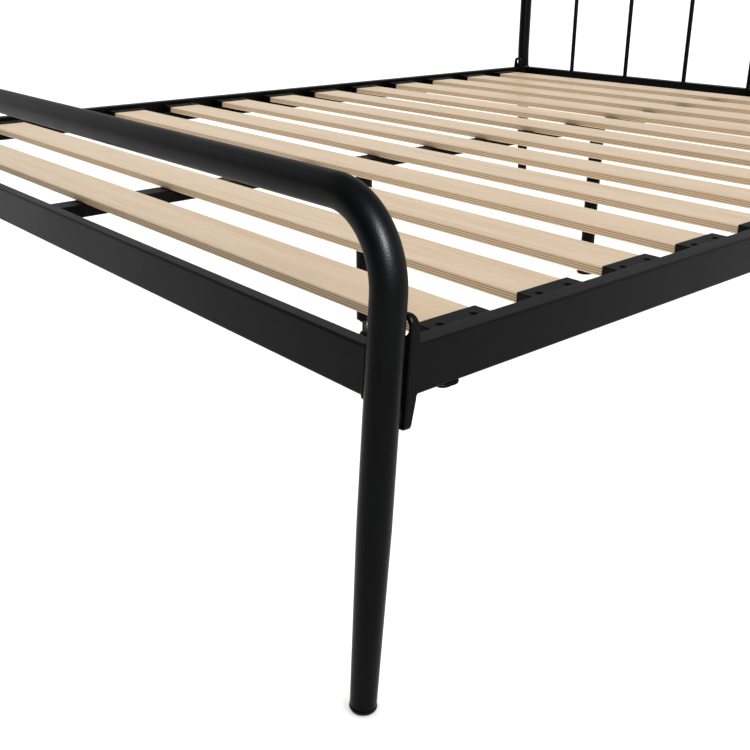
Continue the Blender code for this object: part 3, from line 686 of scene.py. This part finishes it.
def bracket_mesh(inner):
    """Pressed pan with a rounded edge, a flange, a keyhole and two round holes."""
    outer_bend = 0.0026
    inner_bend = 0.0008
    rim = 0.0005
    rings = []
    for i in range(7):
        angle = i / 6 * math.pi / 2
        y = BRACKET_FRONT + outer_bend * (1 - math.cos(angle))
        rings.append(ring_across_y(bracket_outline(outer_bend * (1 - math.sin(angle))), y))
    for inset, back in ((0.0, rim), (rim, 0.0), (BRACKET_SHEET - rim, 0.0), (BRACKET_SHEET, rim)):
        rings.append([Vector((x, flange_edge(x, z, inner) - back, z)) for x, z in bracket_outline(inset)])
    for i in range(4):
        angle = i / 3 * math.pi / 2
        y = BRACKET_BACK + inner_bend * (1 - math.sin(angle))
        inset = BRACKET_SHEET + inner_bend * (1 - math.cos(angle))
        rings.append(ring_across_y(bracket_outline(inset), y))
    bm = bmesh.new()
    loops = loft(bm, rings)
    bmesh.ops.delete(bm, geom=[face for face in bm.faces if len(face.verts) > 4], context='FACES_ONLY')
    front_loops = [loops[0]]
    back_loops = [loops[-1]]
    for outline_of in (keyhole_outline, window_outline, bolt_hole_outline):
        walls = []
        for y, grow in ((BRACKET_FRONT, 0.0004), (BRACKET_FRONT + 0.0004, 0.0),
                        (BRACKET_BACK - 0.0002, 0.0), (BRACKET_BACK, 0.0002)):
            walls.append([bm.verts.new((x, y, z)) for x, z in outline_of(grow)])
        for first, second in zip(walls, walls[1:]):
            for i in range(len(first)):
                bm.faces.new((first[i - 1], first[i], second[i], second[i - 1]))
        front_loops.append(walls[0])
        back_loops.append(walls[-1])
    for sheet in (front_loops, back_loops):
        edges = set()
        for loop in sheet:
            for i in range(len(loop)):
                edges.add(bm.edges.get((loop[i - 1], loop[i])) or bm.edges.new((loop[i - 1], loop[i])))
        bmesh.ops.triangle_fill(bm, edges=list(edges), use_beauty=True)
    return bm


def lying(rings, height):
    """Lay a turned solid along the leg frame's Y axis, at a height in that frame."""
    return moved(rings, Matrix.Translation((0, 0, height)) @ Matrix.Rotation(-math.pi / 2, 4, 'X'))


def stud_rings():
    seat = BRACKET_BACK + GAP
    profile = [(STUD_COLLAR_RADIUS, TUBE_RADIUS + GAP), (STUD_COLLAR_RADIUS, BRACKET_FRONT - GAP),
               (STUD_RADIUS, BRACKET_FRONT - GAP), (STUD_RADIUS, seat), (STUD_HEAD_RADIUS, seat),
               (STUD_HEAD_RADIUS, seat + STUD_HEAD_HEIGHT * 0.6),
               (STUD_HEAD_RADIUS * 0.8, seat + STUD_HEAD_HEIGHT), (0.0015, seat + STUD_HEAD_HEIGHT)]
    return turned(profile, 36, 0.0004)


def lock_bolt_rings():
    """Socket-head bolt with a thread, a knurled head and a hexagonal socket."""
    seat = BRACKET_BACK + GAP
    top = seat + BOLT_HEAD_HEIGHT
    sides = 48
    rings = [circle(BOLT_RADIUS - 0.001, sides, BOLT_TIP)]
    rings += threaded(BOLT_RADIUS, BOLT_TIP + 0.0005, seat - 0.0005, 0.00125, 0.0006, sides)
    rings += turned([(BOLT_RADIUS, seat), (BOLT_HEAD_RADIUS - 0.0003, seat)], sides)
    for height in (seat + 0.0004, top - 0.0009):
        knurl = circle(BOLT_HEAD_RADIUS, sides, height)
        rings.append([Vector((point.x * (1 - 0.03 * (i % 2)), point.y * (1 - 0.03 * (i % 2)), height))
                      for i, point in enumerate(knurl)])
    rings += turned([(BOLT_HEAD_RADIUS - 0.0002, top - 0.0006), (BOLT_HEAD_RADIUS - 0.0008, top)], sides)
    return rings + hex_socket(BOLT_SOCKET, sides, top, BOLT_SOCKET_DEPTH)


def lug_mesh():
    """Saddle that fills the space between the round leg and the bracket's flat face."""
    reach = TUBE_RADIUS + GAP
    outline = []
    for i in range(17):
        x = LUG_HALF_WIDTH * (i / 8 - 1)
        outline.append((x, math.sqrt(reach ** 2 - x ** 2)))
    front = BRACKET_FRONT - GAP
    outline += [(LUG_HALF_WIDTH, front - 0.0008), (LUG_HALF_WIDTH - 0.0004, front - 0.0002),
                (LUG_HALF_WIDTH - 0.0012, front), (-LUG_HALF_WIDTH + 0.0012, front),
                (-LUG_HALF_WIDTH + 0.0004, front - 0.0002), (-LUG_HALF_WIDTH, front - 0.0008)]
    rings = []
    for level, shrink in ((-1.0, 0.94), (-0.96, 0.985), (-0.90, 1.0),
                          (0.90, 1.0), (0.96, 0.985), (1.0, 0.94)):
        rings.append([Vector((x * shrink, max(y, math.sqrt(reach ** 2 - (x * shrink) ** 2)),
                              BOLT_HEIGHT + LUG_HALF_HEIGHT * level)) for x, y in outline])
    return solid(rings)


def make_corner_joints():
    """The bracket, stud, lug and bolt that join a side rail to each leg, with their welds."""
    for corner, side, end in CORNERS:
        place = leg_frame(side, end)
        add_piece(f"fine_rail_bracket_{corner}", bracket_mesh(side * end), COAT,
                  [f"rail_bracket_{corner}"], matrix=place, sharp=30)
        for kind, rings, height in (("hook_stud", stud_rings(), STUD_HEIGHT),
                                    ("lock_bolt", lock_bolt_rings(), BOLT_HEIGHT)):
            add_piece(f"fine_{kind}_{corner}", solid(lying(rings, height)), ZINC,
                      [f"{kind}_{corner}"], matrix=place, sharp=32)
        add_piece(f"fine_leg_lug_{corner}", lug_mesh(), COAT, [f"leg_lug_{corner}"], matrix=place)

        bm = bmesh.new()
        for sign in (-1, 1):
            x = sign * (LUG_HALF_WIDTH + 0.0002)
            y = math.sqrt(TUBE_RADIUS ** 2 - x ** 2)
            line = [Vector((x, y, BOLT_HEIGHT + LUG_HALF_HEIGHT * (i / 7 - 1))) for i in range(15)]
            weld_bead(bm, line, LUG_BEAD, (1, 0, 0), closed=False)
        collar = [Vector((spot.x, math.sqrt(TUBE_RADIUS ** 2 - spot.x ** 2), STUD_HEIGHT + spot.y))
                  for spot in circle(STUD_COLLAR_RADIUS, 30)]
        weld_bead(bm, collar, STUD_BEAD, (0, 1, 0))
        add_piece(f"weld_leg_{corner}", bm, WELD, matrix=place, sharp=80)

        seam = split_evenly(rounded_rectangle(SIDE_RAIL_WIDTH - 0.0009, RAIL_HEIGHT - 0.0009,
                                              RAIL_CORNER - 0.0004, 3), 0.0012)
        bm = bmesh.new()
        weld_bead(bm, ring_across_y(seam, BRACKET_FRONT + BRACKET_DEPTH), BRACKET_BEAD, (0, 1, 0))
        add_piece(f"weld_bracket_{corner}", bm, WELD, matrix=place, sharp=80)


# Side rails and their ledges

def make_side_rails():
    start = LEG_Y - (BRACKET_FRONT + BRACKET_DEPTH + GAP) / math.cos(LEG_LEAN)
    outer, inner = rail_section(SIDE_RAIL_WIDTH, RAIL_HEIGHT)
    inner_face = -SIDE_RAIL_WIDTH / 2
    top = SLAT_REST - GAP - RAIL_MIDDLE
    angle_section = eased([(inner_face, top), (inner_face - LEDGE_WIDTH, top),
                           (inner_face - LEDGE_WIDTH, top - LEDGE_SHEET),
                           (inner_face - LEDGE_SHEET, top - LEDGE_SHEET),
                           (inner_face - LEDGE_SHEET, top - LEDGE_DROP), (inner_face, top - LEDGE_DROP)],
                          0.0012, closed=True)
    for side_name, side in SIDES:
        turn = Matrix.Rotation(0.0 if side > 0 else math.pi, 4, 'Z')
        place = Matrix.Translation((side * LEG_X, 0, RAIL_MIDDLE)) @ turn
        rings = []
        for outline, sign in ((outer, -1), (outer, 1), (inner, 1), (inner, -1)):
            rings.append([Vector((x, sign * (start - z * math.tan(LEG_LEAN)), z)) for x, z in outline])
        add_piece(f"fine_side_rail_{side_name}", solid(rings, closed=True), COAT,
                  [f"side_rail_{side_name}"], matrix=place)
        ledge = solid([ring_across_y(angle_section, y) for y in (-LEDGE_HALF_LENGTH, LEDGE_HALF_LENGTH)])
        add_piece(f"slat_ledge_{side_name}", ledge, COAT, matrix=place)

        bm = bmesh.new()
        for i in range(LEDGE_WELD_COUNT):
            middle = (i / (LEDGE_WELD_COUNT - 1) * 2 - 1) * (LEDGE_HALF_LENGTH - 0.03)
            line = [Vector((inner_face, middle + 0.0012 * (step - 12), top - LEDGE_DROP))
                    for step in range(25)]
            weld_bead(bm, line, LEDGE_BEAD, (1, 0, 0), closed=False)
        add_piece(f"weld_ledge_{side_name}", bm, WELD, matrix=place, sharp=80)


# Cross bars, centre beam and centre legs

def flattened_ring(x, flatness, narrowing, wall):
    """Section of a cross bar: a circle at flatness 0 and a flat stadium of the same girth at 1."""
    height = 2 * CROSS_RADIUS * (1 - flatness) + CROSS_FLAT * flatness
    straight = math.pi * (2 * CROSS_RADIUS - height) / 2
    shift = straight / 2 - narrowing
    ring = []
    for spot in circle(height / 2 - wall, 36, start=math.pi / 36):
        ring.append(Vector((x, spot.x + math.copysign(shift, spot.x), spot.y)))
    return ring


def cross_bar_stations():
    """(x, flatness, narrowing) along the right half of a cross bar, from its middle to its end."""
    flat_start = CROSS_END - CROSS_FLAT_LENGTH
    stations = [(flat_start - CROSS_NECK_LENGTH * (1 - i / 14), (1 - math.cos(math.pi * i / 14)) / 2, 0.0)
                for i in range(15)]
    for i in range(7):
        angle = math.pi / 2 * (1 - i / 6)
        stations.append((CROSS_END - CROSS_END_CORNER * (1 - math.cos(angle)), 1.0,
                         CROSS_END_CORNER * (1 - math.sin(angle))))
    return stations


def button_bolt_rings(length, radius=0.003):
    """Domed bolt with its head below zero and a threaded shank above, socket down."""
    sides = 36
    head = 0.003
    rings = hex_socket(0.003, sides, 0.0, 0.0014)
    rings = [[Vector((point.x, point.y, -head - point.z)) for point in ring] for ring in reversed(rings)]
    rings += turned([(0.0026, -head), (0.0042, -head * 0.82), (0.0050, -head * 0.48), (0.0052, -head * 0.15),
                     (0.0052, -0.0001), (0.0050, 0.0), (radius, 0.0)], sides)
    rings += threaded(radius, 0.0002, length, 0.001, 0.0005, sides)
    return rings


def make_cross_bars():
    half = cross_bar_stations()
    stations = [(-x, flatness, narrowing) for x, flatness, narrowing in reversed(half)] + half
    for name, place in CROSS_PLACES.items():
        outside = [flattened_ring(*station, 0.0) for station in stations]
        inside = [flattened_ring(*station, CROSS_WALL) for station in stations]
        centre = Matrix.Translation((0, place.y, CROSS_HEIGHT))
        add_piece(f"fine_cross_bar_{name}", solid(outside + inside[::-1], closed=True), COAT,
                  [f"cross_bar_{name}"], matrix=centre)

        for side_name, side in SIDES:
            seat = Matrix.Translation((side * LEG_X, place.y, CROSS_HEIGHT - CROSS_FLAT / 2 - GAP))
            node = f"cross_bolt_{name}_{side_name}"
            add_piece(f"fine_{node}", solid(button_bolt_rings(CROSS_BOLT_LENGTH)), ZINC, [node],
                      matrix=seat, sharp=32)

        seat = Matrix.Translation((0, place.y, CROSS_HEIGHT - WASHER_SEAT))
        add_piece(f"beam_bolt_{name}", solid(button_bolt_rings(BEAM_BOLT_LENGTH)), ZINC,
                  matrix=seat, sharp=32)
        add_piece(f"beam_washer_{name}", saddle_washer_mesh(), PLASTIC, matrix=centre)


def saddle_washer_mesh():
    """Curved washer between the round cross bar and the bolt's flat seat, seen from the bar's axis."""
    bore = CROSS_RADIUS + 0.0001
    outline = []
    for i in range(13):
        angle = math.radians(-48 + 8 * i)
        outline.append((bore * math.sin(angle), -bore * math.cos(angle)))
    outline += [(0.0070, -WASHER_SEAT), (-0.0070, -WASHER_SEAT)]
    rings = []
    for x, shrink in ((-0.0085, 0.90), (-0.0078, 1.0), (0.0078, 1.0), (0.0085, 0.90)):
        rings.append([Vector((x, y * shrink, z)) for y, z in outline])
    return solid(rings)


def make_centre_beam():
    middle = (BEAM_LOW + BEAM_HIGH) / 2
    width = BEAM_HIGH.x - BEAM_LOW.x
    height = BEAM_HIGH.z - BEAM_LOW.z
    half_length = (BEAM_HIGH.y - BEAM_LOW.y) / 2
    outer, inner = rail_section(width, height)
    place = Matrix.Translation(middle)
    rings = [ring_across_y(outline, sign * half_length)
             for outline, sign in ((outer, -1), (outer, 1), (inner, 1), (inner, -1))]
    add_piece("fine_centre_beam", solid(rings, closed=True), COAT, ["centre_beam"], matrix=place)
    for name, sign in (("foot_end", -1), ("head_end", 1)):
        rings = []
        for y, inset in ((-0.018, 0.0035), (-0.016, 0.0019), (0.0002, 0.0018), (0.0003, 0.0003),
                         (0.0014, 0.0), (0.0019, 0.0006), (0.0022, 0.0020), (0.0019, 0.0040)):
            outline = rounded_rectangle(width - 2 * inset, height - 2 * inset, 0.0030)
            rings.append(ring_across_y(outline, sign * (half_length + y)))
        add_piece(f"beam_plug_{name}", solid(rings), PLASTIC, matrix=place)


def make_centre_legs():
    """Tube legs under the beam, each with a locknut and a levelling foot on a screw."""
    top = BEAM_LOW.z - GAP - CENTRE_LEG_BOTTOM
    bore = CENTRE_LEG_RADIUS - CENTRE_LEG_WALL
    hole = STEM_RADIUS + 0.0002
    tube = [(hole, 0.0), (CENTRE_LEG_RADIUS - 0.0018, 0.0), (CENTRE_LEG_RADIUS - 0.0012, 0.0016),
            (CENTRE_LEG_RADIUS, 0.0022), (CENTRE_LEG_RADIUS, top), (bore, top), (bore, 0.006), (hole, 0.006)]
    for name in ("foot_end", "head_end"):
        low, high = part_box(f"centre_leg_{name}")
        place = Matrix.Translation((0, (low.y + high.y) / 2, CENTRE_LEG_BOTTOM))
        add_piece(f"fine_centre_leg_{name}", solid(turned(tube, 64, 0.0004, closed=True), closed=True),
                  COAT, [f"centre_leg_{name}"], matrix=place)

        bm = bmesh.new()
        weld_bead(bm, circle(CENTRE_LEG_RADIUS - 0.0006, 90, 0.0018), CENTRE_LEG_FOOT_BEAD, (0, 0, 1))
        weld_bead(bm, circle(CENTRE_LEG_RADIUS, 96, top), CENTRE_LEG_TOP_BEAD, (0, 0, 1))
        add_piece(f"weld_centre_leg_{name}", bm, WELD, matrix=place, sharp=80)

        nut = [circle(hole, 36, -0.0002), circle(0.0078, 36, -0.0002), hexagon(0.0168, 36, -0.0008),
               hexagon(0.0168, 36, -0.0046), circle(0.0078, 36, -0.0052), circle(hole, 36, -0.0052)]
        add_piece(f"locknut_{name}", solid(nut, closed=True), ZINC, matrix=place, sharp=25)

        body = f"adjuster_{name}"
        on_floor = Matrix.Translation((0, place.translation.y, 0))
        add_piece(f"fine_{body}", adjuster_mesh(), PLASTIC, [body], body, on_floor, sharp=32)
        stem = solid(threaded(STEM_RADIUS, 0.017, 0.073, 0.0015, 0.0009, 32))
        add_piece(f"adjuster_stem_{name}", stem, ZINC, (), body, on_floor, sharp=60)


def adjuster_mesh():
    """Moulded pad with grip flutes round its rim, a sloped top and a hexagonal neck."""
    sides = 96
    rings = [circle(PAD_RADIUS - 0.0055, sides, 0.0008), circle(PAD_RADIUS - 0.0050, sides, 0.0)]
    rings += turned([(PAD_RADIUS - 0.0016, 0.0), (PAD_RADIUS - 0.0005, 0.0006)], sides)
    for height in (0.0018, 0.0060):
        flutes = [1.0 - 0.022 * (0.5 - 0.5 * math.cos(2 * math.pi * i / 4)) for i in range(sides)]
        rings.append([Vector((point.x * flutes[i], point.y * flutes[i], height))
                      for i, point in enumerate(circle(PAD_RADIUS, sides, height))])
    rings += turned([(PAD_RADIUS - 0.0008, 0.0068), (0.0150, 0.0096), (0.0112, 0.0108), (0.0103, 0.0118)],
                    sides)
    rings += [hexagon(0.0160, sides, 0.0122), hexagon(0.0160, sides, 0.0174), circle(0.0076, sides, 0.0180)]
    return solid(rings)


# Slats and the holders on their ends

def make_slats():
    for name, (low, high) in SLAT_BOXES.items():
        middle = (low + high) / 2
        size = high - low
        place = Matrix.Translation(middle)
        ends = []
        for x, inset in ((0.0, 0.0009), (0.0003, 0.0003), (0.0010, 0.0)):
            shrunk = rounded_rectangle(size.y - 2 * inset, size.z - 2 * inset, SLAT_CORNER - inset, steps=5)
            ends.append((x, shrunk))
        rings = [ring_across_x(shrunk, -size.x / 2 + x) for x, shrunk in ends]
        rings += [ring_across_x(shrunk, size.x / 2 - x) for x, shrunk in reversed(ends)]
        add_piece(f"fine_{name}", solid(rings), BIRCH, [name], matrix=place)
        for side_name, side in SIDES:
            turn = Matrix.Rotation(0 if side > 0 else math.pi, 4, 'Z')
            add_piece(f"{name}_holder_{side_name}", holder_mesh(size), PLASTIC, matrix=place @ turn)


def holder_mesh(size):
    """Clip over one end of a slat: a bridge with two legs on the ledge, an end stop and two rivets."""
    wall = 0.0020
    length = 0.030
    half_width = size.y / 2 + 0.0003
    bottom = -size.z / 2
    roof = size.z / 2 + 0.0002
    end = size.x / 2 + 0.0003
    bridge = eased([(-half_width - wall, bottom), (-half_width - wall, roof + wall),
                    (half_width + wall, roof + wall), (half_width + wall, bottom),
                    (half_width, bottom), (half_width, roof), (-half_width, roof), (-half_width, bottom)],
                   0.0008, closed=True)
    bm = solid([ring_across_x(bridge, x) for x in (end - length, end + 0.0001)])
    stop = eased([(-half_width - wall, bottom), (-half_width - wall, roof + wall),
                  (half_width + wall, roof + wall), (half_width + wall, bottom)], 0.0008, closed=True)
    stop_rings = []
    for x, shrink in ((end, 1.0), (end + wall - 0.0006, 1.0), (end + wall, 0.97)):
        stop_rings.append([Vector((x, y * shrink, z if shrink == 1.0 else z * 0.93)) for y, z in stop])
    loft(bm, stop_rings)
    for y in (-0.024, 0.024):
        rivet = turned([(0.0048, -0.0004), (0.0048, 0.0003), (0.0040, 0.0010), (0.0022, 0.0014),
                        (0.0008, 0.0015)])
        loft(bm, moved(rivet, Matrix.Translation((end - 0.014, y, roof + wall))))
    return bm


# Studio

def make_camera():
    data = bpy.data.cameras.new("camera")
    data.sensor_width = 36
    data.lens = CAMERA_LENS
    camera = bpy.data.objects.new("camera", data)
    camera.location = CAMERA_PLACE
    camera.rotation_euler = (math.pi / 2 - CAMERA_DIP, 0, CAMERA_TURN)
    bpy.context.scene.collection.objects.link(camera)
    bpy.context.scene.camera = camera


def make_floor():
    shader = Shader("studio_floor", (0.90, 0.90, 0.90), 0.85, specular=0.1)
    mottle = shader.noise(3.0, 3.0)
    tone = shader.ramp(mottle, [(0.3, (0.895, 0.895, 0.895)), (0.7, (0.905, 0.905, 0.905))])
    half = FLOOR_SIZE / 2
    bm = bmesh.new()
    bm.faces.new([bm.verts.new((x * half, y * half, 0)) for x, y in ((-1, -1), (1, -1), (1, 1), (-1, 1))])
    mesh = bpy.data.meshes.new("floor")
    bm.to_mesh(mesh)
    bm.free()
    mesh.materials.append(shader.finish(tone))
    floor = bpy.data.objects.new("floor", mesh)
    bpy.context.scene.collection.objects.link(floor)
    return floor


def add_softbox(name, target, direction, distance, width, height, power, colour, lit):
    """Rectangular area light that faces a point from a direction and lights only the given objects."""
    data = bpy.data.lights.new(name, 'AREA')
    data.shape = 'RECTANGLE'
    data.size = width
    data.size_y = height
    data.energy = power
    data.color = colour
    light = bpy.data.objects.new(name, data)
    towards = Vector(direction).normalized()
    light.location = Vector(target) + towards * distance
    light.rotation_euler = towards.to_track_quat('Z', 'Y').to_euler()
    light.visible_camera = False
    bpy.context.scene.collection.objects.link(light)
    light.light_linking.receiver_collection = bpy.data.collections.new(f"{name}_lit")
    for item in lit:
        light.light_linking.receiver_collection.objects.link(item)


def make_world():
    """White studio that lights less from behind, above and the side that the foot end faces."""
    world = bpy.data.worlds.new("studio")
    bpy.context.scene.world = world
    world.use_nodes = True
    tree = world.node_tree
    direction = tree.nodes.new("ShaderNodeTexCoord").outputs["Generated"]

    def zone(towards, start, full, remains):
        """A smooth factor: 1 away from a direction, and less around it."""
        dot = tree.nodes.new("ShaderNodeVectorMath")
        dot.operation = 'DOT_PRODUCT'
        dot.inputs[1].default_value = Vector(towards).normalized()
        tree.links.new(direction, dot.inputs[0])
        shade = tree.nodes.new("ShaderNodeMapRange")
        shade.interpolation_type = 'SMOOTHSTEP'
        for name, value in (("From Min", start), ("From Max", full), ("To Min", 1.0), ("To Max", remains)):
            shade.inputs[name].default_value = value
        tree.links.new(dot.outputs["Value"], shade.inputs["Value"])
        return shade.outputs["Result"]

    background = tree.nodes["Background"]
    background.inputs["Color"].default_value = (1, 1, 1, 1)
    strength = zone((0.10, -0.97, 0.05), 0.05, 0.75, 0.02)
    for factor in (zone((-0.70, 0.60, 0.39), 0.50, 0.95, 0.40), zone((0, 0, 1), 0.50, 0.90, 0.30), 1.40):
        product = tree.nodes.new("ShaderNodeMath")
        product.operation = 'MULTIPLY'
        set_socket(tree, product.inputs[0], strength)
        set_socket(tree, product.inputs[1], factor)
        strength = product.outputs["Value"]
    seen = tree.nodes.new("ShaderNodeMix")
    seen.inputs["B"].default_value = 1.0
    tree.links.new(tree.nodes.new("ShaderNodeLightPath").outputs["Is Camera Ray"], seen.inputs["Factor"])
    tree.links.new(strength, seen.inputs["A"])
    tree.links.new(seen.outputs["Result"], background.inputs["Strength"])


def pieces_of(*materials):
    return [piece for piece in bpy.data.objects
            if piece.type == 'MESH' and piece.data.materials and piece.data.materials[0] in materials]


def make_lights(floor):
    """Softboxes for the streaks on the near bend and the headboard, and washes for floor and slats."""
    up = (0, 0, 1)
    cool = (0.92, 0.95, 1.0)
    white = (1, 1, 1)
    metal = pieces_of(COAT, WELD, ZINC)
    head_end = [piece for piece in metal if "head" in piece.name]
    near_bend = leg_point(1, FOOT, FOOT_HOOP_HEIGHT - 0.02)
    add_softbox("key", near_bend, (0.66, -0.27, 0.70), 2.2, 0.28, 0.70, 400, cool, metal)
    add_softbox("rear_key", (0, LEG_Y, HEAD_HOOP_HEIGHT), (0, 0.60, 0.72), 2.4, 1.4, 0.5, 500, cool, head_end)
    for name, height, power, lit in (("floor_wash", 0.30, 11000, [floor]),
                                     ("slat_wash", 1.1, 8000, pieces_of(BIRCH))):
        add_softbox(name, (0, 0, 0), up, height, FLOOR_SIZE, FLOOR_SIZE, power, white, lit)


make_hoop("footboard_hoop", FOOT)
make_hoop("headboard_hoop", HEAD)
make_end_rail("foot_rail", FOOT)
make_end_rail("head_rail", HEAD)
make_headboard_bars()
make_leg_caps()
make_corner_joints()
make_side_rails()
make_cross_bars()
make_centre_beam()
make_centre_legs()
make_slats()

make_camera()
make_world()
make_lights(make_floor())
bpy.context.scene.view_settings.view_transform = 'Standard'
